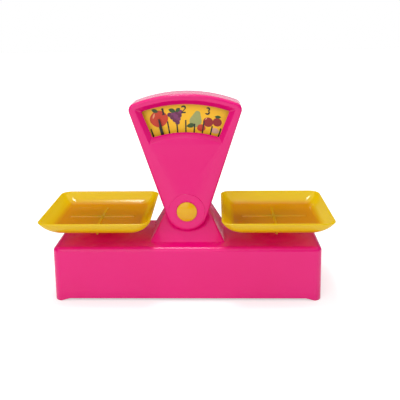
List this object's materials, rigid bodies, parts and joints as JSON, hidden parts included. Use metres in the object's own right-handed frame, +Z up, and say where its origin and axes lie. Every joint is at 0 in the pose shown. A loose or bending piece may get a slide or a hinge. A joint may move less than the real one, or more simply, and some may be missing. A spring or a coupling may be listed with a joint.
{
  "type": "toy market scale",
  "caption": "Toy market scale: long base, fan-shaped dial head with needle behind a window, and trays on plungers over a hidden rocker beam.",
  "frame": {"origin": "on the ground under the middle of the base, at the centre of the part's footprint", "axes": "+X to the right as seen from the dial side, +Y to the back, +Z up; the dial looks along -Y"},
  "size_m": [0.2936, 0.1116, 0.2083],
  "materials": {
    "pink_plastic": "glossy injection-moulded plastic, hot pink",
    "yellow_plastic": "glossy injection-moulded plastic, golden yellow",
    "white_plastic": "uncoloured moulded plastic",
    "black_plastic": "black moulded plastic",
    "printed_card": "laminated card printed in yellow with black ticks and numbers",
    "steel": "plated steel"
  },
  "bodies": {
    "housing": {"base_shell": "pink_plastic", "base_cover": "pink_plastic", "cover_screws": "steel", "tower_body": "pink_plastic", "tower_back": "pink_plastic", "tower_screws": "steel", "dial_bezel": "pink_plastic", "bezel_screws": "steel", "hub_cap": "yellow_plastic", "dial_card": "printed_card", "movement_frame": "white_plastic", "frame_screws": "steel", "beam_axle": "steel", "beam_axle_clips": "steel"},
    "beam": {"rocker_beam": "white_plastic"},
    "pointer": {"pointer": "black_plastic", "pointer_axle": "steel", "pointer_pinion": "white_plastic", "pointer_collar": "white_plastic"},
    "left_tray": {"tray_left": "yellow_plastic", "plunger_left": "yellow_plastic"},
    "right_tray": {"tray_right": "yellow_plastic", "plunger_right": "yellow_plastic"}
  },
  "joints": [
    {"name": "beam_rock", "type": "hinge", "parent": "housing", "child": "beam", "pos_m": [0, 0, 0.0255], "axis": [0, -1, 0], "range_deg": [-0.8, 3.9], "stiffness_Nm_per_rad": 0.0285},
    {"name": "pointer_turn", "type": "hinge", "parent": "housing", "child": "pointer", "pos_m": [0, 0, 0.0615], "axis": [0, 1, 0], "range_deg": [-6.4, 31.2]},
    {"name": "left_tray_slide", "type": "slide", "parent": "housing", "child": "left_tray", "axis": [0, 0, 1], "range_m": [-0.0062, 0.0013]},
    {"name": "right_tray_slide", "type": "slide", "parent": "housing", "child": "right_tray", "axis": [0, 0, 1], "range_m": [-0.0013, 0.0062]}
  ],
  "couplings": [
    {"joint": "pointer_turn", "follows": "beam_rock", "ratio": 8},
    {"joint": "left_tray_slide", "follows": "beam_rock", "m_per_rad": -0.091},
    {"joint": "right_tray_slide", "follows": "beam_rock", "m_per_rad": 0.091}
  ]
}
